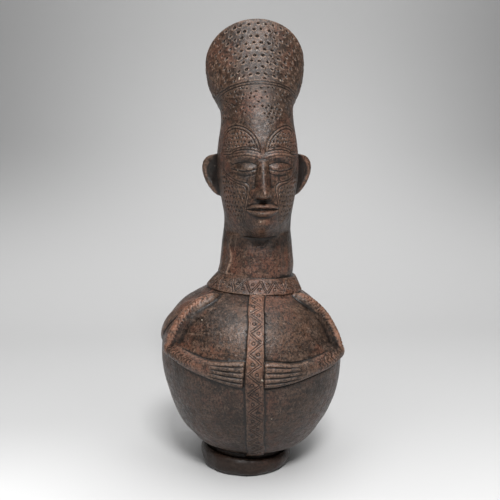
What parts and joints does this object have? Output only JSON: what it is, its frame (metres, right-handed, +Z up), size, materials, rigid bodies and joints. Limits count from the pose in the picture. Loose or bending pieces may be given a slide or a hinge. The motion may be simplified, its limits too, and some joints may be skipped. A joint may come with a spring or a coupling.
{
  "type": "figurative pottery vessel",
  "caption": "Tall fired clay vessel in the shape of a person: round pot body with arms in relief, long neck, head with a flaring swept-back coiffure that opens as the mouth.",
  "frame": {"origin": "centre of the flat underside of the foot", "axes": "+Z up through the neck and head, -Y to the front that the face looks to, +X to the figure's own left"},
  "size_m": [0.122, 0.1265, 0.299],
  "materials": {
    "fired_clay": "burnished dark brown fired clay, worn to orange on the high places"
  },
  "bodies": {
    "root": {"head_vessel": "fired_clay"}
  },
  "joints": []
}
